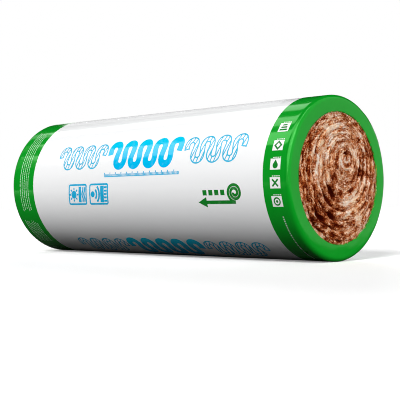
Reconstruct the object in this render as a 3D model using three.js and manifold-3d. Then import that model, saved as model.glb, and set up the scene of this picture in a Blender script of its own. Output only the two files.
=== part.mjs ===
// Mineral-wool insulation roll, lying on its side in its film sleeve.
// Millimetres, +Z up. The roll's axis is X. The origin is on the floor, under the middle of the roll.
import * as THREE from "three";
import { mergeVertices } from "three/addons/utils/BufferGeometryUtils.js";
import Module from "manifold-3d";

const wasm = await Module();
wasm.setup();

// Wound blanket
const BLANKET_WIDTH = 1200; // along the roll's axis
const WOUND_RADIUS = 226.7; // of the blanket, under the film
const TURN_THICKNESS = 22; // one turn, squeezed by the winding
const EYE_RADIUS = 7; // hollow left in the middle of the winding
const EYE_ASIDE = 32; // the winding's middle has sagged off the roll's axis: along Y
const EYE_UP = 56; // and along Z
const CREASE_DEPTH = 15; // of the gap between two turns, below their crowns
const CREASE_SHARE = 0.11; // of the local turn that the gap takes at its bottom
const LIP_ROUND = 4.5; // how far each crown rounds over into the gap

// Film sleeve
const FILM_THICKNESS = 0.5;
const FILM_GAP = 0.3; // between film and blanket
const SHOULDER_RADIUS = 13; // where the film turns over the end
const RING_WIDTH = 34.5; // flat ring of film between the shoulder and the opening in each end
const LAP_WIDTH = 115; // overlap of the film's two long edges
const LAP_ANGLE = 42; // degrees above level, on the back, of the lap's middle

// Fineness of the round forms
const SIDES = 96; // flats round the roll
const SHOULDER_STEPS = 5;
const CREASE_CHORD = 22; // longest straight piece of a crease
const FEWEST_CHORDS = 14; // in one turn of a crease
const CROWN_STEPS = 2;
const EYE_SIDES = 16;

const HALF_STEP = Math.PI / SIDES;
const OUTER_RADIUS = WOUND_RADIUS + FILM_GAP + FILM_THICKNESS;
const OPENING_RADIUS = OUTER_RADIUS - SHOULDER_RADIUS - RING_WIDTH;
const AXIS_HEIGHT = OUTER_RADIUS * Math.cos(HALF_STEP); // the roll rests on a flat, not on a corner
const BLANKET_END = BLANKET_WIDTH / 2;
const FILM_END = BLANKET_END + FILM_GAP + FILM_THICKNESS;
const BEYOND = 20; // how far a cutting solid reaches past what it cuts

// A lathe's own axis (Y) becomes the roll's X, and an extrusion's depth (Z) becomes the roll's X.
const LATHE_TO_ROLL = new THREE.Matrix4().makeBasis(
  new THREE.Vector3(0, 0, 1),
  new THREE.Vector3(1, 0, 0),
  new THREE.Vector3(0, 1, 0),
);
const EXTRUSION_TO_ROLL = new THREE.Matrix4().makeBasis(
  new THREE.Vector3(0, 1, 0),
  new THREE.Vector3(0, 0, 1),
  new THREE.Vector3(1, 0, 0),
);

function toSolid(geometry) {
  const bare = geometry.clone();
  bare.deleteAttribute("normal");
  bare.deleteAttribute("uv");
  const merged = mergeVertices(bare, 1e-4);
  return new wasm.Manifold(
    new wasm.Mesh({
      numProp: 3,
      vertProperties: new Float32Array(merged.attributes.position.array),
      triVerts: new Uint32Array(merged.index.array),
    }),
  );
}

function toGeometry(solid) {
  const mesh = solid.getMesh();
  const geometry = new THREE.BufferGeometry();
  geometry.setAttribute("position", new THREE.BufferAttribute(mesh.vertProperties, 3));
  geometry.setIndex(new THREE.BufferAttribute(mesh.triVerts, 1));
  geometry.computeVertexNormals();
  return geometry;
}

// Revolves [radius, x] points round the roll's axis, with a flat facing down.
function turned(profile) {
  const points = profile.map(([radius, x]) => new THREE.Vector2(radius, x));
  const geometry = new THREE.LatheGeometry(points, SIDES, HALF_STEP);
  return toSolid(geometry.applyMatrix4(LATHE_TO_ROLL));
}

// Half of the roll's outline, from the end's flat round the shoulder to the straight side.
function shoulder(radius, end, shoulderRadius) {
  const points = [];
  for (let step = 0; step <= SHOULDER_STEPS; step += 1) {
    const angle = (Math.PI / 2) * (1 - step / SHOULDER_STEPS);
    const out = radius - shoulderRadius + shoulderRadius * Math.cos(angle);
    points.push([out, end - shoulderRadius + shoulderRadius * Math.sin(angle)]);
  }
  return points;
}

// The outline from the -X end to the +X end.
function rollOutline(radius, end, shoulderRadius) {
  const near = shoulder(radius, end, shoulderRadius);
  const far = near.map(([out, x]) => [out, -x]);
  return [...far, ...near.reverse()];
}

// A point of the spiral between two turns, after so many turns from the eye, as [y, z] from the axis.
// Each turn's own middle drifts from the eye's back to the roll's axis as the turns grow.
function spiralPoint(turns, outwards = 0) {
  const angle = 2 * Math.PI * turns;
  const radius = EYE_RADIUS + LIP_ROUND + turns * TURN_THICKNESS;
  const drift = 1 - radius / WOUND_RADIUS;
  const reach = radius + outwards;
  return new THREE.Vector2(
    EYE_ASIDE * drift + reach * Math.cos(angle),
    EYE_UP * drift + reach * Math.sin(angle),
  );
}

// The crease between the turns runs from the eye until it is well under the film.
function creaseOutline() {
  const start = EYE_RADIUS + LIP_ROUND;
  const turns = (OPENING_RADIUS + TURN_THICKNESS / 2 - start) / TURN_THICKNESS;
  const outer = [];
  const inner = [];
  let at = 0;
  while (at < turns) {
    const localTurn = spiralPoint(at).distanceTo(spiralPoint(at + 1));
    const halfWidth = (localTurn * CREASE_SHARE) / 2;
    outer.push(spiralPoint(at, halfWidth));
    inner.push(spiralPoint(at, -halfWidth));
    const chordTurns = CREASE_CHORD / (2 * Math.PI * (start + at * TURN_THICKNESS));
    at += Math.min(1 / FEWEST_CHORDS, chordTurns);
  }
  return new THREE.Shape([...outer, ...inner.reverse()]);
}

// The creases of one end: narrow at the bottom, and opening towards the face in rounded lips.
function creases() {
  const sag = Math.hypot(EYE_ASIDE, EYE_UP) / WOUND_RADIUS;
  const narrowestTurn = TURN_THICKNESS * (1 - sag);
  const lip = Math.min(LIP_ROUND, 0.4 * narrowestTurn);
  const gap = new THREE.ExtrudeGeometry(creaseOutline(), {
    depth: FILM_GAP,
    bevelEnabled: true,
    bevelThickness: CREASE_DEPTH + FILM_GAP,
    bevelSize: -lip,
    bevelOffset: lip,
    bevelSegments: CROWN_STEPS,
  });
  gap.translate(0, 0, BLANKET_END - CREASE_DEPTH - FILM_GAP);
  const eyeProfile = [
    [0, 0],
    [EYE_RADIUS, 0],
    [EYE_RADIUS + lip, CREASE_DEPTH + FILM_GAP],
    [0, CREASE_DEPTH + FILM_GAP],
  ].map(([radius, x]) => new THREE.Vector2(radius, x));
  const eye = new THREE.LatheGeometry(eyeProfile, EYE_SIDES).applyMatrix4(LATHE_TO_ROLL);
  const middle = spiralPoint(-(EYE_RADIUS + LIP_ROUND) / TURN_THICKNESS);
  eye.translate(BLANKET_END - CREASE_DEPTH, middle.x, middle.y);
  const frontOnly = turned([
    [0, BLANKET_END - CREASE_DEPTH],
    [WOUND_RADIUS, BLANKET_END - CREASE_DEPTH],
    [WOUND_RADIUS, BLANKET_END + BEYOND],
    [0, BLANKET_END + BEYOND],
  ]);
  return toSolid(gap.applyMatrix4(EXTRUSION_TO_ROLL)).intersect(frontOnly).add(toSolid(eye));
}

function woundBlanket() {
  const outline = rollOutline(WOUND_RADIUS, BLANKET_END, SHOULDER_RADIUS - FILM_THICKNESS - FILM_GAP);
  const blank = turned([[0, -BLANKET_END], ...outline, [0, BLANKET_END]]);
  const nearCreases = creases();
  const farCreases = nearCreases.mirror([1, 0, 0]);
  return blank.subtract(nearCreases).subtract(farCreases);
}

// The free long edge of the film, lying on the film's own outside along the straight of the roll.
function filmLap() {
  const straightEnd = FILM_END - SHOULDER_RADIUS;
  const ring = turned([
    [OUTER_RADIUS - FILM_THICKNESS / 2, -straightEnd],
    [OUTER_RADIUS + FILM_THICKNESS, -straightEnd],
    [OUTER_RADIUS + FILM_THICKNESS, straightEnd],
    [OUTER_RADIUS - FILM_THICKNESS / 2, straightEnd],
    [OUTER_RADIUS - FILM_THICKNESS / 2, -straightEnd],
  ]);
  const middle = THREE.MathUtils.degToRad(LAP_ANGLE);
  const halfAngle = LAP_WIDTH / 2 / OUTER_RADIUS;
  const far = OUTER_RADIUS + BEYOND;
  const sector = new THREE.Shape([
    new THREE.Vector2(0, 0),
    new THREE.Vector2(far, 0).rotateAround(new THREE.Vector2(), middle - halfAngle),
    new THREE.Vector2(far / Math.cos(halfAngle), 0).rotateAround(new THREE.Vector2(), middle),
    new THREE.Vector2(far, 0).rotateAround(new THREE.Vector2(), middle + halfAngle),
  ]);
  const wedge = new THREE.ExtrudeGeometry(sector, { depth: 2 * FILM_END, bevelEnabled: false });
  wedge.translate(0, 0, -FILM_END);
  return ring.intersect(toSolid(wedge.applyMatrix4(EXTRUSION_TO_ROLL)));
}

function filmSleeve() {
  const outside = rollOutline(OUTER_RADIUS, FILM_END, SHOULDER_RADIUS);
  const inside = rollOutline(
    OUTER_RADIUS - FILM_THICKNESS,
    FILM_END - FILM_THICKNESS,
    SHOULDER_RADIUS - FILM_THICKNESS,
  );
  const profile = [
    [OPENING_RADIUS, -FILM_END],
    ...outside,
    [OPENING_RADIUS, FILM_END],
    [OPENING_RADIUS, FILM_END - FILM_THICKNESS],
    ...inside.reverse(),
    [OPENING_RADIUS, FILM_THICKNESS - FILM_END],
    [OPENING_RADIUS, -FILM_END],
  ];
  return turned(profile).add(filmLap());
}

const woolMaterial = new THREE.MeshStandardMaterial({
  name: "mineral wool",
  color: 0xb4795a,
  roughness: 1,
  metalness: 0,
  flatShading: true,
});
const filmMaterial = new THREE.MeshStandardMaterial({
  name: "printed film",
  color: 0xf2f4f3,
  roughness: 0.28,
  metalness: 0,
  flatShading: true,
});

const wool = new THREE.Mesh(toGeometry(woundBlanket()), woolMaterial);
wool.name = "wool_roll";
const film = new THREE.Mesh(toGeometry(filmSleeve()), filmMaterial);
film.name = "film_wrap";

const roll = new THREE.Group();
roll.name = "insulation_roll";
roll.add(wool, film);
roll.position.z = AXIS_HEIGHT;

export default roll;
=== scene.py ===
import math
import random

import bmesh
import bpy
from mathutils import Matrix, Vector, noise


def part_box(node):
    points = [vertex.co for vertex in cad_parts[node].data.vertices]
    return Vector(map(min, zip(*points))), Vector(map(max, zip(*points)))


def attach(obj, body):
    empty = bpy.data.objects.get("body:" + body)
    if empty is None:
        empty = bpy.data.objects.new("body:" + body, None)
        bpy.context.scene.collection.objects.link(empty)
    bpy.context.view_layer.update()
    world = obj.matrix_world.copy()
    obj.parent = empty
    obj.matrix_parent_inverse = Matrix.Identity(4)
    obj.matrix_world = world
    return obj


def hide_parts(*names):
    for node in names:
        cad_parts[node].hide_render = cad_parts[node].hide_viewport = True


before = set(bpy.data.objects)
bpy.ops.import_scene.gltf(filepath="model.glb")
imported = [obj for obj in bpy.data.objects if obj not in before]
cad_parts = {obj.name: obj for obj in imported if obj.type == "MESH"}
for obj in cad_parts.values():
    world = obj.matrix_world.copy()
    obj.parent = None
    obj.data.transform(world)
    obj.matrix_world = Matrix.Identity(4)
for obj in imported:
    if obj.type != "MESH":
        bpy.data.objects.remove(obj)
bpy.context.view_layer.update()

bl_info = {
    "name": "Insulation Roll",
    "version": (1, 0, 0),
    "blender": (4, 5, 0),
    "location": "View3D > Sidebar > Insulation Roll",
    "description": "Dresses a wound mineral-wool roll in its printed film sleeve",
    "category": "Object",
}

# ---- places taken from the frame
FILM_LOW, FILM_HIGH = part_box("film_wrap")
WOOL_LOW, WOOL_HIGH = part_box("wool_roll")
AXIS_HEIGHT = (FILM_LOW.z + FILM_HIGH.z) / 2
FILM_RADIUS = (FILM_HIGH.z - FILM_LOW.z) / 2
WOOL_RADIUS = (WOOL_HIGH.z - WOOL_LOW.z) / 2
FILM_END = FILM_HIGH.x
WOOL_END = WOOL_HIGH.x
TURN = 2 * math.pi
QUARTER = math.pi / 2
MM = 0.001
SAME_PLACE = 1e-6


# ---- sizes and colours a user would change
def number(name, default, description, **kind):
    return bpy.props.FloatProperty(name=name, default=default, description=description, **kind)


def length(name, default, description):
    return number(name, default, description, unit="LENGTH", precision=5)


def angle(name, degrees, description):
    return number(name, math.radians(degrees), description, subtype="ANGLE")


def strength(name, default, description):
    return number(name, default, description, min=0.0)


def count(name, default, description):
    return bpy.props.IntProperty(name=name, default=default, description=description, min=0)


def colour(name, default, description):
    return bpy.props.FloatVectorProperty(
        name=name, default=(*default, 1.0), description=description, size=4, subtype="COLOR",
        min=0.0, max=1.0,
    )


class FilmSettings(bpy.types.PropertyGroup):
    opening_radius: length("Opening radius", 0.180, "Radius of the round opening in each end")
    shoulder_radius: length("Shoulder radius", 0.013, "How roundly the film turns over the end")
    thickness: length("Thickness", 0.0005, "Thickness of the film")
    near_band: length("Near green band", 0.083, "Green print at the +X end, along the roll")
    far_band: length("Far green band", 0.122, "Green print at the -X end, along the roll")
    ripple: length("Ripple", 0.0004, "Height of the film's long, slack waves")
    pleat: length("Pleats", 0.00016, "Height of the fine pleats gathered at each shoulder")
    edge_wave: length("Edge wave", 0.0011, "How far the opening's edge wanders in and out")
    lap_width: length("Lap width", 0.115, "Overlap of the film's two long edges")
    lap_angle: angle("Lap place", 138, "Where the lap's middle lies, round from the printed side")
    lap_lift: length("Lap lift", 0.0011, "How far the lap's free edge stands up")
    white: colour("White", (0.885, 0.89, 0.895), "Unprinted white film")
    green: colour("Green", (0.004, 0.325, 0.018), "Green print at the ends")


class WoolSettings(bpy.types.PropertyGroup):
    turn_thickness: length("Turn thickness", 0.022, "One turn of the wound blanket")
    eye_radius: length("Eye radius", 0.0115, "Where the innermost gap starts")
    eye_aside: length("Eye aside", 0.032, "How far the winding's middle lies off the axis, along Y")
    eye_up: length("Eye up", 0.056, "How far the winding's middle lies above the axis")
    gap_depth: length("Gap depth", 0.013, "Depth of the gaps between the turns")
    gap_width: length("Gap width", 0.010, "Width of a gap where the turns stand open")
    lip_round: length("Lip round", 0.006, "How far each turn's crown rounds over into the gap")
    tuft_height: length("Tuft height", 0.0024, "Roughness of the torn fibre")
    tuft_count: count("Tufts", 700, "Torn tufts standing on each end")
    fibre_count: count("Fibres", 2600, "Loose fibres on each end")
    palest: colour("Palest", (0.80, 0.70, 0.62), "Palest fibre")
    pale: colour("Pale", (0.74, 0.50, 0.355), "Pale fibre")
    light: colour("Light", (0.61, 0.275, 0.13), "Light fibre")
    middle: colour("Middle", (0.45, 0.137, 0.043), "Middle fibre")
    dark: colour("Dark", (0.24, 0.034, 0.0065), "Dark fibre")
    # The darkest fibre, also used for the painted shade at the bottom of the gaps.
    deep: colour("Deep", (0.055, 0.004, 0.001), "Bottom of the gaps")
    rust: colour("Rust", (1.0, 0.84, 0.64), "Tint of the rustier patches")


class PrintSettings(bpy.types.PropertyGroup):
    lift: length("Lift", 0.00014, "How far the ink stands clear of the film")
    copies: count("Copies", 3, "How often the print repeats round the roll")
    repeat: angle("Repeat", 82, "Angle between two copies of the print round the roll")
    bold_height: length("Bold height", 0.097, "Height of the solid waves")
    bold_stroke: length("Bold stroke", 0.0225, "Width of the solid waves' stroke")
    thin_height: length("Outlined height", 0.084, "Height of the outlined waves")
    thin_stroke: length("Outlined stroke", 0.0205, "Width of the outlined waves' stroke")
    blue_top: colour("Blue, top", (0.0, 0.56, 0.80), "Blue ink at the top of the band")
    blue_foot: colour("Blue, foot", (0.0, 0.44, 0.80), "Blue ink at the foot of the band")
    blue_thin: colour("Blue, fine", (0.04, 0.45, 0.69), "Blue ink of the outlined waves")
    blue_sign: colour("Blue, signs", (0.012, 0.41, 0.70), "Blue ink of the scale and the signs")
    green_ink: colour("Green ink", (0.008, 0.20, 0.02), "Green ink on white")
    white_ink: colour("White ink", (0.84, 0.86, 0.84), "White ink on green")
    fine_ink: colour("Fine ink", (0.50, 0.80, 0.54), "Thinner white ink of the far end's fine rows")


class StageSettings(bpy.types.PropertyGroup):
    camera_place: bpy.props.FloatVectorProperty(
        name="Camera", default=(2.047, -2.065, 0.153), size=3, subtype="TRANSLATION",
        description="Where the camera stands",
    )
    camera_azimuth: angle("Azimuth", 43.675, "Camera's turn about the vertical")
    camera_pitch: angle("Pitch", 0.41, "Camera's tilt above level")
    camera_roll: angle("Roll", -0.43, "Camera's turn about its own line of sight")
    focal_length: number("Focal length", 82.65, "Lens, in mm on a 36 mm frame", min=10)
    sky: strength("Sky", 0.10, "Soft light from all round")
    key: strength("Key", 0.97, "Soft light from in front and above")
    side: strength("Side", 0.72, "Soft light on the +X end")
    back: strength("Back", 0.90, "Soft light on the far side")
    strip: strength("Strips", 3.8, "Brightness of the long soft boxes seen in the gloss")
    floor: colour("Floor", (0.9, 0.9, 0.9), "Pale floor")


# ---- shader maths
def either_side(operation):
    """An operator and its reflected form, both adding a Math node of this operation."""
    return (
        lambda self, other: self.math(operation, self, other),
        lambda self, other: self.math(operation, other, self),
    )


class Value:
    """A node's output that takes part in arithmetic: each operator adds the Math node it stands for."""

    def __init__(self, finish, socket):
        self.finish = finish
        self.socket = socket

    def math(self, operation, *values, clamp=False):
        settings = {"operation": operation, "use_clamp": clamp}
        return self.finish.add("Math", dict(enumerate(values)), settings)

    __add__, __radd__ = either_side("ADD")
    __sub__, __rsub__ = either_side("SUBTRACT")
    __mul__, __rmul__ = either_side("MULTIPLY")
    __truediv__, __rtruediv__ = either_side("DIVIDE")

    def above(self, other):
        return self.math("GREATER_THAN", self, other)

    def larger(self, other):
        return self.math("MAXIMUM", self, other)

    def absolute(self):
        return self.math("ABSOLUTE", self)

    def clamped(self):
        return self.math("ADD", self, 0.0, clamp=True)


class Finish:
    """One procedural material, or the world, built up from nodes."""

    def __init__(self, name, holder=None):
        self.holder = holder or bpy.data.materials.new(name)
        self.holder.use_nodes = True
        self.tree = self.holder.node_tree
        self.tree.nodes.clear()

    def add(self, kind, inputs=None, settings=None, output=0):
        """A node of this kind: its settings come first, then the values or links of its sockets."""
        node = self.tree.nodes.new("ShaderNode" + kind)
        for key, value in (settings or {}).items():
            if key == "stops":
                self.set_stops(node.color_ramp, value)
            else:
                setattr(node, key, value)
        for key, value in (inputs or {}).items():
            if isinstance(value, Value):
                self.tree.links.new(value.socket, node.inputs[key])
            else:
                node.inputs[key].default_value = value
        return Value(self, node.outputs[output]) if node.outputs else None

    @staticmethod
    def set_stops(ramp, stops):
        while len(ramp.elements) < len(stops):
            ramp.elements.new(1.0)
        for element, (position, tint) in zip(ramp.elements, stops):
            element.position = position
            element.color = tint

    def object_place(self):
        return self.add("TexCoord", output="Object")

    def attribute(self, name):
        return self.add("Attribute", None, {"attribute_name": name}, "Vector")

    def split(self, vector):
        parts = self.add("SeparateXYZ", {0: vector}).socket.node
        return [Value(self, socket) for socket in parts.outputs]

    def scaled(self, vector, scale):
        return self.add("Mapping", {"Vector": vector, "Scale": scale})

    def noise(self, vector, scale, detail=2.0, roughness=0.5, distortion=0.0):
        return self.add("TexNoise", {
            "Vector": vector, "Scale": scale, "Detail": detail, "Roughness": roughness,
            "Distortion": distortion,
        })

    def mix(self, factor, first, second, blend="MIX"):
        settings = {"data_type": "RGBA", "blend_type": blend}
        return self.add("Mix", {0: factor, 6: first, 7: second}, settings, 2)

    def bump(self, height, distance, amount):
        return self.add("Bump", {"Height": height, "Distance": distance, "Strength": amount})

    def show(self, shader, where="Material"):
        self.add("Output" + where, {"Surface": shader})
        return self.holder

    def surface(self, inputs):
        return self.show(self.add("BsdfPrincipled", inputs))


# ---- materials
FILM_GLOSS = 0.14
PEARL = 0.11
DULL_WHITE = (0.80, 0.81, 0.825, 1.0)
THIN_GREEN = (0.02, 0.42, 0.045, 1.0)
# Green of the painted shade over the shoulders.
SHOULDER_SHADE_GREEN = (0.0, 0.15, 0.004, 1.0)
WORN_INK = (0.75, 0.82, 0.86, 1.0)
# The wool's tones, from the darkest, also the painted shade at the bottom of a gap, to the palest fibre.
TONE_STOPS = (
    (0.10, "deep"), (0.30, "dark"), (0.46, "middle"), (0.59, "light"), (0.74, "pale"),
    (0.92, "palest"),
)
# How far the wool's colour darkens deep in a gap: painted shade.
GAP_PAINTED_SHADE = 0.6


def film_gloss(finish, base, pearl=0.0):
    """The film's own gloss under any ink, with fine draw lines; pearl tints the gloss like the ink."""
    place = finish.object_place()
    haze = finish.noise(place, 9.0, detail=3.0)
    drawn = finish.noise(finish.scaled(place, (6.0, 90.0, 90.0)), 1.0, detail=3.0)
    specks = finish.noise(place, 420.0, detail=1.0)
    height = drawn * 0.7 + specks * 0.3
    return finish.surface({
        "Base Color": base,
        "Metallic": pearl,
        "Roughness": 0.05 + haze * 0.06,
        "Specular IOR Level": FILM_GLOSS,
        "Normal": finish.bump(height, 0.12 * MM, 0.35),
    })


def film_material(settings):
    """White film, green at both ends; the green is thin in patches and darker over the shoulders, as
    painted shade.
    """
    finish = Finish("printed film")
    place = finish.object_place()
    along = finish.split(place)[0]
    near = along.above(FILM_END - settings.near_band)
    far = (0.0 - along).above(FILM_END - settings.far_band)
    clouds = finish.noise(finish.scaled(place, (1.5, 12.0, 12.0)), 1.0, detail=3.0)
    veil = (clouds - 0.35) * 0.5
    white = finish.mix(veil.clamped(), settings.white, DULL_WHITE)
    patches = finish.noise(place, 14.0, detail=4.0)
    thin_ink = ((patches - 0.5) * 0.5).clamped()
    green = finish.mix(thin_ink, settings.green, THIN_GREEN)
    straight_end = FILM_END - settings.shoulder_radius
    bend = ((along.absolute() - straight_end) / settings.shoulder_radius).clamped()
    # Painted shade: the green darkens most half way round each shoulder's bend.
    gathered = bend * (1.0 - bend) * 1.7
    green = finish.mix(gathered, green, SHOULDER_SHADE_GREEN)
    printed = near.larger(far)
    return film_gloss(finish, finish.mix(printed, white, green), printed * PEARL)


def ink_material(name, top, foot):
    """Ink on film, shading from its top colour to its foot colour over the motif's height."""
    finish = Finish(name)
    rise = finish.split(finish.attribute("print_place"))[1]
    patches = finish.noise(finish.object_place(), 60.0, detail=4.0)
    worn = ((patches - 0.55) * 0.3).clamped()
    ink = finish.mix(rise.clamped(), foot, top)
    return film_gloss(finish, finish.mix(worn, ink, WORN_INK))


def wool_tint(finish, tone, settings):
    """The wool's colour, from 0, the painted shade at the bottom of a gap, to 1 at the palest fibre, with
    rusty patches.
    """
    stops = [(place, getattr(settings, name)) for place, name in TONE_STOPS]
    patches = finish.noise(finish.object_place(), 34.0, detail=3.0, roughness=0.7)
    rusty = ((patches - 0.38) * 4.5).clamped()
    tint = finish.add("ValToRGB", {0: tone.clamped()}, {"stops": stops})
    return finish.mix(rusty, tint, settings.rust, "MULTIPLY")


def wool_material(settings):
    """Torn fibre: tufts and streaks that follow the turns, specks, patches, and painted shade in the
    gaps.
    """
    finish = Finish("mineral wool")
    place = finish.object_place()
    wound = finish.attribute("wound")
    depth, tone_here = finish.split(finish.attribute("wear"))[:2]
    tufts = finish.noise(
        finish.scaled(wound, (85.0, 180.0, 0.0)), 1.0, detail=3.0, roughness=0.6, distortion=0.7
    )
    specks = finish.noise(place, 230.0, detail=3.0, roughness=0.8)
    tone = 0.53 + (tufts - 0.5) * 1.6 + (specks - 0.5) * 2.6
    # Painted shade: the deeper in a gap, the darker the colour.
    tint = wool_tint(finish, tone + tone_here - depth * GAP_PAINTED_SHADE, settings)
    height = tufts * 0.6 + specks * 0.4
    return finish.surface({
        "Base Color": tint,
        "Roughness": 0.86 + specks * 0.12,
        "Specular IOR Level": 0.0,
        "Normal": finish.bump(height, 1.6 * MM, 0.7),
    })


def fibre_material(settings):
    """Loose fibres: each one a colour of its own, from its tone attribute, which also holds the painted
    shade of a gap.
    """
    finish = Finish("loose fibre")
    tone = finish.split(finish.attribute("tone"))[0]
    specks = finish.noise(finish.object_place(), 320.0, detail=2.0)
    tint = wool_tint(finish, tone + (specks - 0.5) * 0.8, settings)
    return finish.surface({
        "Base Color": tint,
        "Roughness": 0.75 + specks * 0.2,
        "Specular IOR Level": 0.0,
    })


# ---- shared modelling
def mesh_of(name, bm, material):
    mesh = bpy.data.meshes.new(name)
    bm.to_mesh(mesh)
    bm.free()
    mesh.materials.append(material)
    return mesh


def put(name, data):
    thing = bpy.data.objects.new(name, data)
    bpy.context.scene.collection.objects.link(thing)
    return thing


def new_piece(name, bm, material):
    mesh = mesh_of(name, bm, material)
    mesh.polygons.foreach_set("use_smooth", [True] * len(mesh.polygons))
    piece = put(name, mesh)
    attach(piece, "root")
    return piece


def made(kind, result):
    """The vertices or edges, whichever kind is asked for, in what an operator made."""
    return [part for part in result["geom"] if isinstance(part, kind)]


def waver(x, y, z):
    """Smooth unrest at a point, from -1 to 1."""
    return noise.noise(Vector((x, y, z)))


def round_axis(x, radius, round_angle):
    """A point at this radius from the roll's axis, at an angle measured up the printed side."""
    return Vector((
        x, -radius * math.cos(round_angle), AXIS_HEIGHT + radius * math.sin(round_angle)
    ))


def quarter_bend(along, across, bend, steps):
    """Points of a section's quarter turn, which starts along the first axis and sinks in the second."""
    turns = [QUARTER * step / steps for step in range(steps + 1)]
    return [
        (along + bend * math.sin(turn), across - bend * (1 - math.cos(turn))) for turn in turns
    ]


def face_outwards(bm):
    """Points every face away from the roll's axis or middle."""
    bmesh.ops.recalc_face_normals(bm, faces=bm.faces)
    widest = max(bm.faces, key=lambda face: face.calc_center_median().yz.length)
    if widest.normal.yz.dot(widest.calc_center_median().yz) < 0:
        bmesh.ops.reverse_faces(bm, faces=bm.faces)


# ---- film
SIDE_RINGS = 58
SHOULDER_STEPS = 10
RING_SHARES = (0.2, 0.4, 0.6, 0.78, 0.9)  # places of the end ring's circles, from its outside in
FILM_SIDES = 256
PLEAT_REACH = 0.03
HEM = 0.5 * MM  # how far the opening's edge turns in
LAP_SHORT = 3 * MM  # how far the lap stops short of each end
LAP_CLEAR = 0.15 * MM
LAP_ROOT = 0.2 * MM  # how deep the lap's rooted edge lies in the sleeve
LAP_WANDER = 1.5 * MM


def film_surface(x, shoulder_radius):
    """The film's radius at a place along the roll, and how far its outside there faces the end."""
    into_shoulder = abs(x) - (FILM_END - shoulder_radius)
    if into_shoulder <= 0:
        return FILM_RADIUS, 0.0
    reach = min(into_shoulder / shoulder_radius, 1.0)
    drop = shoulder_radius * (1 - math.sqrt(1 - reach * reach))
    return FILM_RADIUS - drop, math.copysign(reach, x)


def film_relief(x, round_angle, settings):
    """How far the slack film stands off the true cylinder."""
    y, z = math.cos(round_angle), math.sin(round_angle)
    slack = waver(x * 4.0, y * 1.3, z * 1.3)
    slack += 0.4 * waver(x * 9.0, y * 4.0, z * 4.0 + 7.0)
    to_shoulder = max(0.0, FILM_END - settings.shoulder_radius - abs(x))
    gathered = math.exp(-to_shoulder / PLEAT_REACH)
    pleats = waver(x * 6.0, y * 11.0, z * 11.0)
    return settings.ripple * slack + settings.pleat * gathered * pleats


def stood_off(x, radius, off, end_share):
    """Moves a place on the film, as (x, radius), outwards by a distance square to it."""
    return x + off * end_share, radius + off * math.sqrt(1 - end_share * end_share)


def on_film(x, rise, lift, settings):
    """A point of the flat print, wrapped on the film: rise is measured up the printed side."""
    round_angle = rise / FILM_RADIUS
    radius, end_share = film_surface(x, settings.shoulder_radius)
    off = film_relief(x, round_angle, settings) + lift
    return round_axis(*stood_off(x, radius, off, end_share), round_angle)


def film_profile(settings):
    """Half of the sleeve's section, as (x, radius) from the middle out to the opening's edge."""
    shoulder, opening = settings.shoulder_radius, settings.opening_radius
    straight_end, ring_outer = FILM_END - shoulder, FILM_RADIUS - shoulder
    points = [(straight_end * ring / SIDE_RINGS, FILM_RADIUS) for ring in range(SIDE_RINGS)]
    points += quarter_bend(straight_end, FILM_RADIUS, shoulder, SHOULDER_STEPS)
    points += [(FILM_END, ring_outer + (opening - ring_outer) * share) for share in RING_SHARES]
    points += [(FILM_END - HEM, opening + 0.6 * MM), (FILM_END - 1.4 * MM, opening)]
    return points


def roll_film(settings):
    """The sleeve: its section spun round the axis, then slackened."""
    bm = bmesh.new()
    half = film_profile(settings)
    profile = [(-x, radius) for x, radius in reversed(half[1:])] + half
    chain = [bm.verts.new((x, 0.0, -radius)) for x, radius in profile]
    links = [bm.edges.new(pair) for pair in zip(chain, chain[1:])]
    bmesh.ops.spin(
        bm, geom=chain + links, cent=(0, 0, 0), axis=(1, 0, 0), angle=TURN, steps=FILM_SIDES,
        use_merge=True,
    )
    bmesh.ops.remove_doubles(bm, verts=bm.verts, dist=SAME_PLACE)
    face_outwards(bm)
    ring_outer = FILM_RADIUS - settings.shoulder_radius
    for vert in bm.verts:
        x, y, z = vert.co
        round_angle = math.atan2(z, -y)
        radius = math.hypot(y, z)
        if radius > ring_outer:
            end_share = film_surface(x, settings.shoulder_radius)[1]
            off = film_relief(x, round_angle, settings)
            x, radius = stood_off(x, radius, off, end_share)
        else:
            inward = (ring_outer - radius) / (ring_outer - settings.opening_radius)
            wave = waver(math.cos(round_angle) * 5, math.sin(round_angle) * 5, x)
            radius += settings.edge_wave * inward * wave
            x -= math.copysign(HEM * inward * inward * (1 + wave), x)
        vert.co = round_axis(x, radius, round_angle)
    return bm


def lay_lap(settings):
    """The film's outer long edge: it leaves the sleeve flush and ends in a free, slightly raised edge."""
    bm = bmesh.new()
    reach = FILM_END - LAP_SHORT
    bmesh.ops.create_grid(bm, x_segments=150, y_segments=16, size=1.0)
    for vert in bm.verts:
        x, place = vert.co.x * reach, vert.co.y
        to_free_edge = (1 - place) / 2
        rooted = math.exp(-(1 - to_free_edge) * 14.0)
        lifted = math.exp(-to_free_edge * 10.0) * min(1.0, (reach - abs(x)) / 0.09)
        unrest = 0.5 + waver(x * 7.0, place, 3.0)
        lift = LAP_CLEAR - (settings.thickness + LAP_ROOT) * rooted
        lift += settings.lap_lift * lifted * max(0.0, unrest)
        wander = LAP_WANDER * waver(x * 5.0, 0.0, 9.0) * lifted
        rise = settings.lap_angle * FILM_RADIUS + place * settings.lap_width / 2 + wander
        vert.co = on_film(x, rise, lift, settings)
    return bm


class INSULATION_OT_film(bpy.types.Operator):
    """Make the printed film sleeve and its lap"""

    bl_idname = "insulation.film"
    bl_label = "Film sleeve"

    def execute(self, context):
        settings = context.scene.insulation_film
        material = film_material(settings)
        sleeve = new_piece("film_sleeve", roll_film(settings), material)
        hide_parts("film_wrap")
        lap = new_piece("film_lap", lay_lap(settings), material)
        for piece in (sleeve, lap):
            wall = piece.modifiers.new("film thickness", "SOLIDIFY")
            wall.thickness = settings.thickness
            wall.offset = -1.0 if piece is sleeve else 1.0
        return {"FINISHED"}


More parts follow.
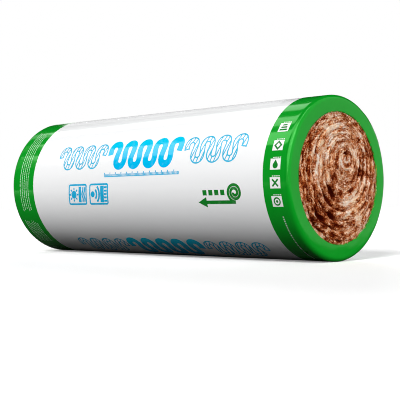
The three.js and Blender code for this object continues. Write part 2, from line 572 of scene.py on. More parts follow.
# ---- wool
class Winding:
    """The spiral of the wound blanket on one end, seen along +X with its middle off the roll's axis."""

    def __init__(self, side, settings):
        self.seed = 3.0 + side
        self.pitch = settings.turn_thickness
        self.start = settings.eye_radius
        self.eye = Vector((settings.eye_aside, settings.eye_up))
        self.settings = settings

    def middle(self, radius):
        """The middle of the turn of this radius: the outer turns lie round the roll's axis."""
        return self.eye * (1 - radius / WOOL_RADIUS)

    def place(self, y, z):
        """Turns from the eye to the gap inside this point, and share of the turn across it."""
        point = Vector((y, z)) - self.eye
        a = 1 - self.eye.length_squared / (WOOL_RADIUS * WOOL_RADIUS)
        b = 2 * point.dot(self.eye) / WOOL_RADIUS
        c = point.length_squared
        radius = (b + math.sqrt(b * b + 4 * a * c)) / (2 * a)
        middle = self.middle(radius)
        turned = math.atan2(z - middle.y, y - middle.x) / TURN % 1.0
        turns = (radius - self.start) / self.pitch - turned
        inside = math.floor(turns)
        return inside + turned, turns - inside

    def unrolled(self, wound):
        """Length of blanket wound before this many turns."""
        return TURN * (self.start * wound + self.pitch * wound * wound / 2)


# Places on an end, as (y, z) from the axis, where the turns stand open: radius, and how much.
SLACK_PLACES = (
    ((-0.100, -0.112), 0.030, 0.9), ((-0.040, -0.104), 0.026, 1.0),
    ((0.022, -0.100), 0.026, 0.9), ((-0.076, -0.050), 0.030, 0.9),
    ((-0.036, -0.040), 0.024, 0.8), ((0.108, 0.020), 0.024, 0.8),
    ((0.034, 0.070), 0.014, 0.9), ((-0.140, 0.010), 0.030, 0.6),
)
# Places where the wool is paler or, below nought, darker; the darker ones on open turns, as at the eye,
# are painted shade.
TONE_PLACES = (
    ((-0.044, 0.118), 0.034, 0.34), ((-0.020, 0.150), 0.036, 0.20),
    ((-0.070, 0.060), 0.040, 0.22), ((0.015, 0.035), 0.050, 0.16),
    ((0.062, 0.080), 0.034, 0.12), ((-0.066, -0.008), 0.020, 0.20),
    ((0.040, -0.062), 0.028, 0.34), ((0.086, -0.110), 0.026, 0.20),
    ((0.104, -0.146), 0.036, 0.30), ((-0.172, -0.040), 0.016, 0.20),
    ((0.034, 0.070), 0.013, -0.34), ((-0.096, -0.110), 0.034, -0.30),
    ((-0.020, -0.106), 0.030, -0.26), ((-0.060, -0.158), 0.034, -0.20),
    ((-0.136, -0.050), 0.040, -0.20), ((-0.140, 0.080), 0.036, -0.16),
    ((-0.034, -0.040), 0.024, -0.24), ((0.150, 0.090), 0.036, -0.26),
    ((0.140, 0.020), 0.034, -0.18), ((0.100, 0.020), 0.020, -0.14),
)
SQUEEZE = 0.28  # how much thinner the turns are on the side that the eye lies towards
LAYER = 0.0052  # thickness of the layers that a turn splits into
LAYER_DIP = 1.1 * MM
SWELL = 2.6 * MM
LEAST_GAP = 0.4 * MM
TORN_LIP = 2.0 * MM
CROWN_TOP = 2.2 * MM  # the highest that the torn fibre stands past the film's end
HELD_RADIUS = 0.179  # from here outwards the film's ring holds the wool down
HELD_FADE = 0.012
HELD_HEIGHT = -2.4 * MM
WOOL_GRID = 262
WOOL_RIM = 0.192  # where the torn end stops, behind the film's ring
WOOL_SHOULDER = 0.0122


def nearby(y, z, places):
    """Sum of the amounts of the places round a point, each fading over its own radius."""
    total = 0.0
    for (at_y, at_z), radius, amount in places:
        away = ((y - at_y) ** 2 + (z - at_z) ** 2) / (radius * radius)
        total += amount * math.exp(-away)
    return total


def gap_fall(from_gap, half_gap, lip):
    """How far a point has fallen into the gap beside it, from 0 on the crown to 1 at the bottom."""
    if from_gap < half_gap:
        return 1.0
    rest = max(0.0, 1 - (from_gap - half_gap) / lip)
    return 1 - math.sqrt(1 - rest * rest)


def wool_relief(y, z, winding):
    """Height of the torn end at a point, its unrolled place, and its painted shade and tone: how deep it
    lies, and its tone.
    """
    settings, seed = winding.settings, winding.seed
    wound, across = winding.place(y, z)
    along = winding.unrolled(wound)
    from_eye = 1 - SQUEEZE * (y * winding.eye.x + z * winding.eye.y) / (
        winding.eye.length * WOOL_RADIUS)
    level = winding.pitch * from_eye
    drift = waver(along * 9.0, seed, 0.0)
    slack = nearby(y, z, SLACK_PLACES) + 0.5 * waver(y * 13.0, z * 13.0, seed + 5.0)
    open_share = min(1.0, max(0.0, 0.10 + 0.5 * drift + slack))
    half_gap = LEAST_GAP + settings.gap_width / 2 * open_share ** 1.5
    torn = TORN_LIP * waver(along * 60.0, across * 4.0, seed + 2.0)
    fall = gap_fall(min(across, 1 - across) * level + torn, half_gap, settings.lip_round)
    fall *= 0.08 + 0.92 * open_share
    bent = waver(along * 14.0, across * 3.0, seed)
    layers = abs(math.sin(math.pi * (across * level / LAYER + bent)))
    tufts = waver(along * 80.0, across * level * 210.0, seed)
    tufts += 0.6 * waver(along * 190.0, across * level * 430.0, seed + 3.0)
    swell = waver(y * 15.0, z * 15.0, seed + 8.0)
    swell += 0.5 * waver(along * 9.0, wound, seed + 1.0)
    height = (
        SWELL * swell
        + settings.tuft_height * tufts
        - LAYER_DIP * (1 - layers) ** 2
        - settings.gap_depth * fall
    )
    height = min(height, CROWN_TOP)
    free = min(1.0, max(0.0, (HELD_RADIUS - math.hypot(y, z)) / HELD_FADE))
    if free < 1.0 and height > HELD_HEIGHT:
        height = HELD_HEIGHT + (height - HELD_HEIGHT) * free
    # How deep a point lies in a gap, or how low between tufts, for the painted shade.
    depth = min(1.0, fall + max(0.0, -tufts) * 0.2)
    tone = 0.82 * nearby(y, z, TONE_PLACES)
    tone += 0.34 * waver(along * 14.0, across * 1.2, seed + 6.0)
    tone += 0.12 * waver(y * 22.0, z * 22.0, seed + 9.0)
    tone += 0.56 * waver(along * 46.0, across * level * 100.0, seed + 7.0)
    return height, (along, across * level, 0.0), (depth, tone, 0.0)


def disc_from_square(x, y):
    """Where a point of the square from -1 to 1 goes on the disc of radius 1."""
    if abs(x) < abs(y):
        return tuple(reversed(disc_from_square(y, x)))
    turn = math.pi / 4 * y / x if x else 0.0
    return x * math.cos(turn), x * math.sin(turn)


def pack_wool(side, settings):
    """Half of the roll, from the middle of its length to one end: side is 1 or -1."""
    winding = Winding(side, settings)
    bm = bmesh.new()
    wound_layer = bm.verts.layers.float_vector.new("wound")
    gap_shade_and_tone_layer = bm.verts.layers.float_vector.new("wear")
    bmesh.ops.create_grid(bm, x_segments=WOOL_GRID, y_segments=WOOL_GRID, size=1.0)
    for vert in bm.verts:
        y, z = (WOOL_RIM * place for place in disc_from_square(vert.co.x, vert.co.y))
        height, vert[wound_layer], vert[gap_shade_and_tone_layer] = wool_relief(y, z, winding)
        vert.co = (side * (FILM_END + height), y, z)
    edge = [e for e in bm.edges if e.is_boundary]
    outline = quarter_bend(WOOL_RADIUS - WOOL_SHOULDER, WOOL_END, WOOL_SHOULDER, 5)
    for radius, x in outline + [(WOOL_RADIUS, 0.0)]:
        grown = bmesh.ops.extrude_edge_only(bm, edges=edge)
        edge = [e for e in made(bmesh.types.BMEdge, grown) if e.is_boundary]
        for vert in made(bmesh.types.BMVert, grown):
            out = vert.co.yz.normalized() * radius
            vert.co = (side * x, out.x, out.y)
    bmesh.ops.edgeloop_fill(bm, edges=edge)
    bmesh.ops.recalc_face_normals(bm, faces=bm.faces)
    bmesh.ops.translate(bm, verts=bm.verts, vec=(0, 0, AXIS_HEIGHT))
    return bm


# Kinds of strand: radii between which they start and past which they don't reach, in radians how far
# they stray from the turns and curl, ranges of size, tone and its spread, and the lowest that they lie.
TUFT = {
    "inner": 0.0, "outer": 0.172, "reach": 0.1785, "stray": 0.30, "curl": 0.14,
    "length": (8 * MM, 20 * MM), "thick": (0.4 * MM, 1.2 * MM), "arch": (0.0, 0.4 * MM),
    "tone": 0.53, "mottle": 0.12, "lowest": -7 * MM,
}
FIBRE = {
    "inner": 0.0, "outer": 0.176, "reach": 0.1785, "stray": 0.45, "curl": 0.12,
    "length": (9 * MM, 26 * MM), "thick": (0.12 * MM, 0.32 * MM), "arch": (0.2 * MM, 1.6 * MM),
    "tone": 0.57, "mottle": 0.16, "lowest": -7 * MM,
}
FRINGE = {
    "inner": 0.174, "outer": 0.1800, "reach": 0.1820, "stray": 0.7, "curl": 0.2,
    "length": (5 * MM, 12 * MM), "thick": (0.18 * MM, 0.6 * MM), "arch": (0.1 * MM, 1.0 * MM),
    "tone": 0.56, "mottle": 0.13, "lowest": 0.4 * MM,
}
FRINGE_COUNT = 380
STRAND_STEPS = 4
END_SEEDS = {1: 41, -1: 43}


def strand(bm, tone_layer, winding, side, draw, kind):
    """One tuft or fibre, laid roughly along the turns, just off the torn end and toned like it."""
    radius = kind["inner"] + (kind["outer"] - kind["inner"]) * math.sqrt(draw.random())
    turn = TURN * draw.random()
    y, z = radius * math.cos(turn), radius * math.sin(turn)
    middle = winding.middle(radius)
    heading = math.atan2(y - middle.x, -(z - middle.y)) + draw.gauss(0, kind["stray"])
    curl = draw.gauss(0, kind["curl"])
    span, thick, arch = (draw.uniform(*kind[size]) for size in ("length", "thick", "arch"))
    own_tone = kind["tone"] + draw.gauss(0, kind["mottle"])
    rings = []
    for step in range(STRAND_STEPS + 1):
        height, _, (depth, tone, _) = wool_relief(y, z, winding)
        stand = arch * math.sin(math.pi * step / STRAND_STEPS) + thick * 0.3
        x = side * (FILM_END + max(height, kind["lowest"]) + stand)
        sideways = Vector((0.0, -math.sin(heading), math.cos(heading))) * thick
        outwards = Vector((thick, 0.0, 0.0))
        at_tip = step in (0, STRAND_STEPS)
        corners = (Vector(),) if at_tip else (sideways, outwards, -sideways, -outwards)
        ring = [bm.verts.new(Vector((x, y, z + AXIS_HEIGHT)) + corner) for corner in corners]
        for vert in ring:
            # Painted shade: a strand deep in a gap is darkened like the wool there.
            vert[tone_layer] = own_tone + tone - GAP_PAINTED_SHADE * depth
        rings.append(ring)
        heading += curl
        y += math.cos(heading) * span / STRAND_STEPS
        z += math.sin(heading) * span / STRAND_STEPS
        reach = math.hypot(y, z)
        if reach > kind["reach"]:
            y, z = y * kind["reach"] / reach, z * kind["reach"] / reach
    for ring, ahead in zip(rings, rings[1:]):
        for corner in range(4):
            beside = (corner + 1) % 4
            if len(ring) == 1:
                bm.faces.new((ring[0], ahead[corner], ahead[beside]))
            elif len(ahead) == 1:
                bm.faces.new((ring[corner], ahead[0], ring[beside]))
            else:
                bm.faces.new((ring[corner], ahead[corner], ahead[beside], ring[beside]))


def strew_fibres(side, settings):
    """Tufts, loose fibres and the fringe at the film's edge, as one mesh toned like the wool below."""
    winding = Winding(side, settings)
    draw = random.Random(END_SEEDS[side])
    bm = bmesh.new()
    tone_layer = bm.verts.layers.float.new("tone")
    for kind, strands in (
        (TUFT, settings.tuft_count), (FIBRE, settings.fibre_count), (FRINGE, FRINGE_COUNT)
    ):
        for _ in range(strands):
            strand(bm, tone_layer, winding, side, draw, kind)
    bmesh.ops.recalc_face_normals(bm, faces=bm.faces)
    return bm


class INSULATION_OT_wool(bpy.types.Operator):
    """Make the wound mineral wool, a half of the roll for each end"""

    bl_idname = "insulation.wool"
    bl_label = "Wound wool"

    def execute(self, context):
        settings = context.scene.insulation_wool
        material = wool_material(settings)
        for side, name in ((1, "wool_half_plus_x"), (-1, "wool_half_minus_x")):
            half = new_piece(name, pack_wool(side, settings), material)
            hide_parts("wool_roll")
        return {"FINISHED"}


class INSULATION_OT_fibres(bpy.types.Operator):
    """Strew tufts and loose fibres over the two open ends"""

    bl_idname = "insulation.fibres"
    bl_label = "Loose fibres"

    def execute(self, context):
        settings = context.scene.insulation_wool
        material = fibre_material(settings)
        for side, name in ((1, "fibres_plus_x"), (-1, "fibres_minus_x")):
            new_piece(name, strew_fibres(side, settings), material)
        return {"FINISHED"}


# ---- print
BEND_STEPS = ((Vector((1, 0, 0)), 0.03), (Vector((0, 1, 0)), 0.008))  # cuts that let the ink bend


class Stencil:
    """Flat shapes of one ink: x runs along the roll as the world's X, y is the rise up the film."""

    def __init__(self):
        self.bm = bmesh.new()
        self.tone = self.bm.verts.layers.float_vector.new("print_place")

    def everything(self):
        return [*self.bm.verts, *self.bm.edges, *self.bm.faces]

    def place(self, verts, x, y, turned=0.0):
        matrix = Matrix.Translation((x, y, 0)) @ Matrix.Rotation(turned, 4, "Z")
        bmesh.ops.transform(self.bm, matrix=matrix, verts=verts)
        return verts

    def bar(self, x, y, width, height, turned=0.0):
        verts = bmesh.ops.create_grid(self.bm, x_segments=1, y_segments=1, size=0.5)["verts"]
        bmesh.ops.scale(self.bm, vec=(width, height, 1), verts=verts)
        return self.place(verts, x, y, turned)

    def disc(self, x, y, radius, sides=28):
        circle = bmesh.ops.create_circle(self.bm, cap_ends=True, radius=radius, segments=sides)
        return self.place(circle["verts"], x, y)

    def hollow(self, verts, width):
        """Leaves only a border of this width of the face that these vertices bound."""
        self.bm.normal_update()
        face = verts[0].link_faces[0]
        bmesh.ops.inset_region(
            self.bm, faces=[face], thickness=width, use_even_offset=True, use_boundary=True
        )
        bmesh.ops.delete(self.bm, geom=[face], context="FACES")

    def outline(self, *points):
        """One flat face through a few corner points."""
        self.bm.faces.new([self.bm.verts.new((x, y, 0)) for x, y in points])

    def stroke(self, points, width):
        """A ribbon of even width along a line of points."""
        chain = [self.bm.verts.new((x, y, 0)) for x, y in points]
        edges = [self.bm.edges.new(pair) for pair in zip(chain, chain[1:])]
        grown = bmesh.ops.extrude_edge_only(self.bm, edges=edges)
        line = [vert.co.copy() for vert in chain]
        for index, (vert, mate) in enumerate(zip(chain, made(bmesh.types.BMVert, grown))):
            run = line[min(index + 1, len(line) - 1)] - line[max(index - 1, 0)]
            aside = Vector((-run.y, run.x, 0)).normalized() * width / 2
            vert.co -= aside
            mate.co += aside

    def shade(self, level):
        """Sets how far each vertex stands from the ink's foot colour, 0, to its top colour, 1."""
        for vert in self.bm.verts:
            vert[self.tone] = (0, level(vert.co), 0)

    def repeat(self, copies, rise):
        source = self.everything()
        for copy in range(1, copies):
            copied = bmesh.ops.duplicate(self.bm, geom=source)
            verts = made(bmesh.types.BMVert, copied)
            bmesh.ops.translate(self.bm, vec=(0, -rise * copy, 0), verts=verts)

    def wrap(self, lift, film):
        """Cuts the flat shapes finely enough to bend, and lays them on the film."""
        bm = self.bm
        corners = [vert.co.copy() for vert in bm.verts]
        for axis, step in BEND_STEPS:
            reach = [corner.dot(axis) / step for corner in corners]
            for index in range(math.ceil(min(reach)), math.floor(max(reach)) + 1):
                bmesh.ops.bisect_plane(
                    bm, geom=self.everything(), dist=SAME_PLACE, plane_co=axis * (index * step),
                    plane_no=axis,
                )
        bm.normal_update()
        bmesh.ops.reverse_faces(bm, faces=[face for face in bm.faces if face.normal.z < 0])
        for vert in bm.verts:
            vert.co = on_film(vert.co.x, vert.co.y, lift, film)
        return bm


def rise_at(degrees):
    """Rise up the printed side, measured on the film, of an angle round the roll."""
    return math.radians(degrees) * FILM_RADIUS


def away(x, y, reach, turn):
    return x + reach * math.cos(turn), y + reach * math.sin(turn)


# The wave band.
WAVE_RISE = rise_at(22)
WAVE_MIDDLE = FILM_END - 0.5535
WAVE_BULGE = 0.13
WAVE_STEPS = 40
BOLD_PITCH = 66 * MM
BOLD_WAVES = 5
BOLD_REACH = BOLD_PITCH * BOLD_WAVES / 2
THIN_PITCH = 60.7 * MM
THIN_WAVES = 4
HATCH_PITCH = 12.5 * MM
HATCH_WIDTH = 3.6 * MM
HATCH_SLANT = math.radians(20)
OUTLINE_WIDTH = 4.2 * MM


def wave_line(start, way, pitch, waves, swing):
    """Middle line of one stretch of the wave band, a rounded meander that starts and ends half way up."""
    points = []
    for step in range(WAVE_STEPS // 4, waves * WAVE_STEPS - WAVE_STEPS // 4 + 1):
        t = TURN * step / WAVE_STEPS
        x = start + way * pitch * (t / TURN + WAVE_BULGE * math.sin(2 * t))
        points.append((x, WAVE_RISE - swing * math.cos(t)))
    return points


def bold_waves(settings):
    """The band's solid middle."""
    stencil = Stencil()
    height, width = settings.bold_height, settings.bold_stroke
    left = WAVE_MIDDLE - BOLD_REACH
    stencil.stroke(wave_line(left, 1, BOLD_PITCH, BOLD_WAVES, (height - width) / 2), width)
    low = WAVE_RISE - height / 2
    stencil.shade(lambda place: (place.y - low) / height)
    return stencil


def thin_waves(settings):
    """The band's two outer stretches, outlined and hatched."""
    stencil = Stencil()
    bm = stencil.bm
    inner = bm.faces.layers.int.new("inner")
    height, width = settings.thin_height, settings.thin_stroke
    for way in (-1, 1):
        start = WAVE_MIDDLE + way * BOLD_REACH
        stencil.stroke(wave_line(start, way, THIN_PITCH, THIN_WAVES, (height - width) / 2), width)
    faces = list(bm.faces)
    for face in faces:
        face[inner] = 1
    bm.normal_update()
    border = bmesh.ops.inset_region(
        bm, faces=faces, thickness=OUTLINE_WIDTH, use_even_offset=True, use_boundary=True
    )["faces"]
    for face in border:
        face[inner] = 0
    across = Vector((math.cos(HATCH_SLANT), -math.sin(HATCH_SLANT), 0))
    reach = [vert.co.dot(across) / HATCH_PITCH for vert in bm.verts]
    for index in range(math.floor(min(reach)), math.ceil(max(reach))):
        for place in (index * HATCH_PITCH, index * HATCH_PITCH + HATCH_WIDTH):
            cut = [face for face in bm.faces if face[inner]]
            cut += list({edge for face in cut for edge in face.edges})
            bmesh.ops.bisect_plane(
                bm, geom=cut, dist=SAME_PLACE, plane_co=across * place, plane_no=across
            )
    bare = [
        face for face in bm.faces
        if face[inner] and face.calc_center_median().dot(across) % HATCH_PITCH > HATCH_WIDTH
    ]
    bmesh.ops.delete(bm, geom=bare, context="FACES")
    return stencil


# The scale and the signs.
RULER_HALF = 0.1615
RULER_RISE = rise_at(6)
RULER_TICKS = 64
SIGN_RISE = rise_at(-8.5)
SIGN_WIDTH = 0.090
SIGN_HEIGHT = 0.067
SIGN_LEAN = 0.14
COIL_TURNS = 2.25
COIL_STEPS = 60


def draw_ruler(stencil):
    """A plain measuring scale under the band."""
    for tick in range(RULER_TICKS + 1):
        tall = 12 * MM if tick % 5 == 0 else 7 * MM
        x = WAVE_MIDDLE - RULER_HALF + 2 * RULER_HALF * tick / RULER_TICKS
        stencil.bar(x, RULER_RISE - 4 * MM + tall / 2, 3.2 * MM, tall)
    stencil.bar(WAVE_MIDDLE, RULER_RISE - 4.9 * MM, 2 * RULER_HALF, 2.0 * MM)


def draw_sign_frame(stencil, x):
    """A sign's border with rounded corners."""
    verts = stencil.bar(x, SIGN_RISE, SIGN_WIDTH, SIGN_HEIGHT)
    rounded = bmesh.ops.bevel(
        stencil.bm, geom=verts, offset=8 * MM, segments=4, profile=0.5, affect="VERTICES",
        material=-1,
    )
    stencil.hollow(rounded["verts"], 5.6 * MM)


def draw_warmth_sign(stencil, x):
    """A sun over a thick blanket, and waves of heat turned back below it."""
    draw_sign_frame(stencil, x)
    sun = x - 18 * MM
    stencil.disc(sun, SIGN_RISE, 13 * MM)
    for ray in range(8):
        turn = TURN * ray / 8
        stencil.bar(*away(sun, SIGN_RISE, 18.5 * MM, turn), 7.5 * MM, 5.6 * MM, turn)
    stencil.bar(x + 11.5 * MM, SIGN_RISE, 13 * MM, 50 * MM)
    for wave in range(2):
        base = x + (24.5 + 9 * wave) * MM
        line = [
            (base + 2.2 * MM * math.sin(TURN * step / 14), SIGN_RISE + (step - 10) * 2.3 * MM)
            for step in range(21)
        ]
        stencil.stroke(line, 6 * MM)


def draw_sound_sign(stencil, x):
    """Rings of sound that stop at a wall."""
    draw_sign_frame(stencil, x)
    source = x - 28 * MM
    stencil.disc(source, SIGN_RISE, 9.5 * MM)
    turns = [math.radians(-50 + 100 * step / 14) for step in range(15)]
    for radius in (18.5 * MM, 31 * MM):
        stencil.stroke([away(source, SIGN_RISE, radius, turn) for turn in turns], 7.5 * MM)
    stencil.bar(x + 16 * MM, SIGN_RISE, 17 * MM, 52 * MM)
    for stripe in range(5):
        stencil.bar(x + 32 * MM, SIGN_RISE + (stripe - 2) * 10.5 * MM, 13 * MM, 6 * MM)


def blue_signs():
    stencil = Stencil()
    draw_warmth_sign(stencil, FILM_END - 0.848)
    draw_sound_sign(stencil, FILM_END - 0.745)
    for vert in stencil.bm.verts:
        vert.co.x += SIGN_LEAN * (vert.co.y - SIGN_RISE)
    draw_ruler(stencil)
    return stencil


def unroll_sign():
    """A roll seen from its end, its blanket running out to an arrow."""
    stencil = Stencil()
    rise = rise_at(-9.5)
    x = FILM_END - 0.184
    coil = []
    for step in range(COIL_STEPS + 1):
        turn = TURN * (COIL_TURNS * step / COIL_STEPS) + math.pi
        coil.append(away(x, rise, (5 + 21 * step / COIL_STEPS) * MM, turn))
    stencil.stroke(coil, 8.2 * MM)
    foot = rise - 26 * MM
    stencil.bar(x - 55 * MM, foot, 110 * MM, 10 * MM)
    stencil.outline(
        (x - 138 * MM, foot), (x - 106 * MM, foot + 15 * MM), (x - 106 * MM, foot - 15 * MM)
    )
    for dash in range(4):
        stencil.bar(x - (44 + 22 * dash) * MM, rise + 1 * MM, 15 * MM, 15 * MM)
    return stencil


# The print on the green ends.
SQUARE_X = FILM_END - 42 * MM
SQUARE_WIDTH = 34 * MM
SQUARE_HEIGHT = 29 * MM
SQUARE_RISES = [rise_at(degrees) for degrees in (-15.5, -3.2, 9.0, 21.8, 35.5)]
EDGE_REPEAT = math.radians(120)
EDGE_COPIES = 2


def square_symbols():
    """A simple green shape on each white square."""
    stencil = Stencil()
    ring, cross, drop, diamond, bars = (rise - 2 * MM for rise in SQUARE_RISES)
    stencil.hollow(stencil.disc(SQUARE_X, ring, 11.5 * MM), 4 * MM)
    stencil.disc(SQUARE_X, ring, 3.8 * MM)
    for turned in (math.pi / 4, -math.pi / 4):
        stencil.bar(SQUARE_X, cross, 26 * MM, 5 * MM, turned)
    stencil.disc(SQUARE_X, drop - 3 * MM, 8.5 * MM)
    stencil.outline(
        (SQUARE_X - 7.6 * MM, drop + 0.6 * MM), (SQUARE_X + 7.6 * MM, drop + 0.6 * MM),
        (SQUARE_X, drop + 12 * MM),
    )
    stencil.hollow(stencil.disc(SQUARE_X, diamond, 13.5 * MM, sides=4), 4.6 * MM)
    for bar in range(3):
        stencil.bar(SQUARE_X, bars + (bar - 1) * 8 * MM, (24 - 5 * bar) * MM, 4.8 * MM)
    return stencil


def run_of_dashes(stencil, draw, x, start, end, width, shortest, longest, gap=1.2):
    """Dashes round the roll from one angle to another, their lengths and gaps drawn by lot in mm."""
    rise = rise_at(start)
    while rise < rise_at(end):
        dash = draw.uniform(shortest, longest) * MM
        stencil.bar(x, rise + dash / 2, width, dash)
        rise += dash + draw.uniform(gap, 2 * gap) * MM


def white_print():
    """The white print on the green ends: squares, and runs of short dashes round the roll."""
    stencil = Stencil()
    for rise in SQUARE_RISES:
        stencil.bar(SQUARE_X, rise - 2 * MM, SQUARE_WIDTH, SQUARE_HEIGHT)
        for dash in range(4):
            stencil.bar(SQUARE_X + (7 * dash - 7) * MM, rise + 15.5 * MM, 4.6 * MM, 2.2 * MM)
    draw = random.Random(17)
    runs = [(FILM_END - 35 * MM, -72, -27, 4.2 * MM, 2, 4, 2.2)]
    for row in range(5):
        x = -FILM_END + (48 + 11 * row) * MM
        runs.append((x, -22 + row % 3, 53 - row, 2.9 * MM, 3, 12))
    for row in range(8):
        x = -FILM_END + (32 + 8.5 * row) * MM
        runs.append((x, -56, -31 - row % 4, 2.6 * MM, 2, 9))
    for run in runs:
        run_of_dashes(stencil, draw, *run)
    stencil.shade(lambda place: place.x > 0)
    return stencil


def print_piece(context, name, stencil, top, foot=None, at_edge=False, layer=1):
    """Repeats a stencil round the roll and lays its ink on the film, or on another layer of ink."""
    ink = context.scene.insulation_print
    copies, repeat = (EDGE_COPIES, EDGE_REPEAT) if at_edge else (ink.copies, ink.repeat)
    stencil.repeat(copies, repeat * FILM_RADIUS)
    flat = stencil.wrap(layer * ink.lift, context.scene.insulation_film)
    material = ink_material(name.replace("_", " "), top, foot or top)
    new_piece(name, flat, material)


class INSULATION_OT_wave_band(bpy.types.Operator):
    """Print the blue band of waves, solid in the middle and outlined towards both ends"""

    bl_idname = "insulation.wave_band"
    bl_label = "Wave band"

    def execute(self, context):
        ink = context.scene.insulation_print
        print_piece(context, "print_bold_waves", bold_waves(ink), ink.blue_top, ink.blue_foot)
        print_piece(context, "print_thin_waves", thin_waves(ink), ink.blue_thin)
        return {"FINISHED"}


class INSULATION_OT_signs(bpy.types.Operator):
    """Print the scale and the plain signs below the band"""

    bl_idname = "insulation.signs"
    bl_label = "Scale and signs"

    def execute(self, context):
        ink = context.scene.insulation_print
        print_piece(context, "print_blue_signs", blue_signs(), ink.blue_sign)
        print_piece(context, "print_unroll_sign", unroll_sign(), ink.green_ink)
        return {"FINISHED"}


class INSULATION_OT_edge_print(bpy.types.Operator):
    """Print the white squares, their green shapes and the fine dashes on the green ends"""

    bl_idname = "insulation.edge_print"
    bl_label = "Print on the green ends"

    def execute(self, context):
        ink = context.scene.insulation_print
        print_piece(
            context, "print_white", white_print(), ink.white_ink, ink.fine_ink, at_edge=True
        )
        print_piece(
            context, "print_symbols", square_symbols(), ink.green_ink, at_edge=True, layer=2
        )
        return {"FINISHED"}


# ---- stage
# Long soft boxes over the roll, sinking towards its -X end: angle round it above the printed side,
# end along the roll, tint, and for each length of it the width seen from the roll and share of the glow.
STRIPS = (
    (61.5, 0.9, (1, 1, 1), ((19, 1.2), (20, 0.78), (20, 0.08))),
    (89.5, -0.6, (1, 1, 1), ((15, 0.88), (12, 0.76), (12, 0.08))),
    (119.0, -0.8, (0.8, 1, 0.83), ((15, 0.58), (14, 0.72), (12, 0.25))),
)
STRIP_JOINTS = (-2.4, -3.37, -6.2)
STRIP_DISTANCE = 2.2
STRIP_SLANT = 0.21
# Soft boxes for the +X end's shoulder: direction, direction of the long side, size and glow's share.
SHOULDER_BOXES = (
    ("broad_box", (0.50, -0.60, 0.63), (0.81, 0.34, -0.45), (3.0, 2.2), 1.3),
    ("thin_box", (0.53, -0.16, 0.83), (-0.35, 0.83, 0.42), (2.2, 0.26), 2.4),
)
# Curved cards round the roll, seen in its gloss behind the strips: glow, the angle of the card's foot,
# and the angle of its top at places along it. The grey one stands over the white film.
CARDS = (
    ("dark_card", 0.0, -6, (
        (-7.0, 148), (-3.72, 152), (-3.66, 131), (-1.50, 131), (-1.40, 163), (1.4, 166)
    )),
    ("grey_card", 0.5, 131.2, ((-3.66, 166), (-1.47, 166))),
)
CARD_RADIUS = 2.6
CARD_STEPS = 40
SUN_SPREAD = math.radians(26)
WHITE = (1.0, 1.0, 1.0, 1.0)
# Dim ground: dull for bounce light, and painted shade where a gloss sees the floor close under the roll.
DIM_GROUND = (0.045, 0.045, 0.045, 1.0)
FLOOR_GLOW = 0.22
FLOOR_REACH = 60.0
SENSOR_WIDTH = 36.0
VIEW_REACH = 200.0


def seen_directly(finish):
    """Ray length, 1 where the eye, a gloss or a clear wall sees a surface, and 1 where a gloss does."""
    rays = finish.add("LightPath").socket.node.outputs
    camera, glossy, clear, ray_length = (
        Value(finish, rays[name])
        for name in ("Is Camera Ray", "Is Glossy Ray", "Is Transmission Ray", "Ray Length")
    )
    return ray_length, camera.larger(glossy).larger(clear), glossy


def lay_floor(settings):
    """The floor: white to the eye and in gloss, and otherwise dull, so that it lights nothing."""
    bm = bmesh.new()
    bmesh.ops.create_grid(bm, x_segments=1, y_segments=1, size=FLOOR_REACH)
    finish = Finish("pale floor")
    ray_length, seen, glossy = seen_directly(finish)
    # A gloss close above the floor sees the dim ground, painted shade for the floor under the roll; from
    # further off, the white.
    close = (1.0 - (ray_length - 1.0) / 2.0).clamped() * glossy
    lit = finish.add("BsdfDiffuse", {"Color": settings.floor})
    glow = finish.add("Emission", {"Strength": FLOOR_GLOW})
    pale = finish.add("AddShader", {0: lit, 1: glow})
    dull = finish.add("BsdfDiffuse", {"Color": DIM_GROUND})
    mixed = finish.add("MixShader", {0: (seen - close).clamped(), 1: dull, 2: pale})
    put("floor", mesh_of("floor", bm, finish.show(mixed)))


def light_world(scene, settings):
    scene.world = bpy.data.worlds.new("studio")
    finish = Finish("studio", scene.world)
    seen = seen_directly(finish)[1]
    level = settings.sky + seen * (1.0 - settings.sky)
    finish.show(finish.add("Background", {"Color": WHITE, "Strength": level}), "World")


def hang_suns(settings):
    for name, power, towards in (
        ("key", settings.key, (0.25, -0.77, 0.58)),
        ("side", settings.side, (0.96, -0.22, 0.17)),
        ("back", settings.back, (-0.66, 0.69, 0.30)),
    ):
        lamp = bpy.data.lights.new(name, "SUN")
        lamp.energy = power * math.pi
        lamp.angle = SUN_SPREAD
        sun = put(name, lamp)
        sun.rotation_euler = Vector(towards).to_track_quat("Z", "Y").to_euler()
        sun.visible_glossy = False


def soft_box(name, place, direction, across, size, radiance, tint=WHITE[:3]):
    """A soft box seen only in gloss, out in a direction, facing back, its long side along across."""
    lamp = bpy.data.lights.new(name, "AREA")
    lamp.shape = "RECTANGLE"
    lamp.size, lamp.size_y = size
    lamp.energy = radiance * lamp.size * lamp.size_y * math.pi
    lamp.color = tint
    turned = Matrix((across, direction.cross(across), direction)).transposed().to_4x4()
    box = put(name, lamp)
    box.matrix_world = Matrix.Translation(place + Vector((0, 0, AXIS_HEIGHT))) @ turned
    box.visible_diffuse = False
    box.visible_camera = False


def hang_strips(radiance):
    """The long soft boxes, each in three lengths of their own width and glow."""
    for index, (degrees, end, tint, lengths) in enumerate(STRIPS):
        turn = math.radians(degrees)
        direction = Vector((0, -math.cos(turn), math.sin(turn)))
        rising = Vector((0, math.sin(turn), math.cos(turn)))
        along = (Vector((1, 0, 0)) + rising * STRIP_SLANT).normalized()
        for part, (start, (width, glow)) in enumerate(zip(STRIP_JOINTS, lengths)):
            size = (end - start, 2 * STRIP_DISTANCE * math.tan(math.radians(width / 2)))
            place = direction * STRIP_DISTANCE + along * (start + end) / 2
            name = f"strip_{index}_{part}"
            soft_box(name, place, direction, along, size, radiance * glow, tint)
            end = start


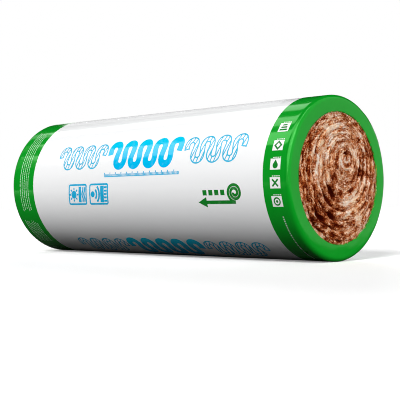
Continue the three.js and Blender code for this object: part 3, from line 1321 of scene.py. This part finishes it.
def hang_shoulder_boxes(radiance):
    """Light the shoulder of the +X end alone: a broad box beside the camera, a thin one above it."""
    shoulder = Vector((FILM_END, -FILM_RADIUS / 2, FILM_RADIUS / 2))
    for name, towards, along, size, glow in SHOULDER_BOXES:
        direction, along = Vector(towards).normalized(), Vector(along)
        across = (along - direction * along.dot(direction)).normalized()
        place = shoulder + direction * STRIP_DISTANCE
        soft_box(name, place, direction, across, size, radiance * glow)


def hang_card(name, glow, foot, tops):
    """A curved card that only gloss sees, so that the film shows the strips on an even ground."""
    bm = bmesh.new()
    bays = len(tops) - 1
    bmesh.ops.create_grid(bm, x_segments=bays, y_segments=CARD_STEPS, size=1.0)
    for vert in bm.verts:
        x, top = tops[round((vert.co.x + 1) / 2 * bays)]
        turn = math.radians(foot + (top - foot) * (vert.co.y + 1) / 2)
        vert.co = round_axis(x, CARD_RADIUS, turn)
    finish = Finish(name.replace("_", " "))
    material = finish.show(finish.add("Emission", {"Strength": glow}))
    card = put(name, mesh_of(name, bm, material))
    card.visible_camera = False
    card.visible_diffuse = False
    card.visible_shadow = False


def place_camera(scene, settings):
    lens = bpy.data.cameras.new("camera")
    lens.sensor_width = SENSOR_WIDTH
    lens.lens = settings.focal_length
    lens.clip_end = VIEW_REACH
    turn = (
        Matrix.Rotation(settings.camera_azimuth, 4, "Z")
        @ Matrix.Rotation(QUARTER + settings.camera_pitch, 4, "X")
        @ Matrix.Rotation(settings.camera_roll, 4, "Z")
    )
    scene.camera = put("camera", lens)
    scene.camera.matrix_world = Matrix.Translation(settings.camera_place) @ turn


class INSULATION_OT_stage(bpy.types.Operator):
    """Set the pale floor, the soft lights and the camera"""

    bl_idname = "insulation.stage"
    bl_label = "Stage"

    def execute(self, context):
        scene = context.scene
        settings = scene.insulation_stage
        lay_floor(settings)
        light_world(scene, settings)
        hang_suns(settings)
        hang_strips(settings.strip)
        hang_shoulder_boxes(settings.strip)
        for card in CARDS:
            hang_card(*card)
        place_camera(scene, settings)
        scene.view_settings.view_transform = "Standard"
        scene.cycles.filter_width = 1.0
        return {"FINISHED"}


# ---- add-on
class INSULATION_PT_roll(bpy.types.Panel):
    """Steps that build the roll"""

    bl_idname = "INSULATION_PT_roll"
    bl_label = "Insulation Roll"
    bl_space_type = "VIEW_3D"
    bl_region_type = "UI"
    bl_category = "Insulation Roll"

    def draw(self, context):
        for step in STEPS:
            self.layout.operator(step.bl_idname)
        for name in SETTINGS:
            box = self.layout.box()
            group = getattr(context.scene, name)
            for key in group.bl_rna.properties.keys():
                if key not in ("rna_type", "name"):
                    box.prop(group, key)


STEPS = (
    INSULATION_OT_stage,
    INSULATION_OT_film,
    INSULATION_OT_wool,
    INSULATION_OT_fibres,
    INSULATION_OT_wave_band,
    INSULATION_OT_signs,
    INSULATION_OT_edge_print,
)
SETTINGS = {
    "insulation_film": FilmSettings,
    "insulation_wool": WoolSettings,
    "insulation_print": PrintSettings,
    "insulation_stage": StageSettings,
}


def register():
    for name, group in SETTINGS.items():
        bpy.utils.register_class(group)
        setattr(bpy.types.Scene, name, bpy.props.PointerProperty(type=group))
    for step in (*STEPS, INSULATION_PT_roll):
        bpy.utils.register_class(step)


def unregister():
    for step in (INSULATION_PT_roll, *reversed(STEPS)):
        bpy.utils.unregister_class(step)
    for name, group in SETTINGS.items():
        delattr(bpy.types.Scene, name)
        bpy.utils.unregister_class(group)


def main():
    register()
    bpy.ops.insulation.stage()
    bpy.ops.insulation.film()
    bpy.ops.insulation.wool()
    bpy.ops.insulation.fibres()
    bpy.ops.insulation.wave_band()
    bpy.ops.insulation.signs()
    bpy.ops.insulation.edge_print()


if __name__ == "__main__":
    main()
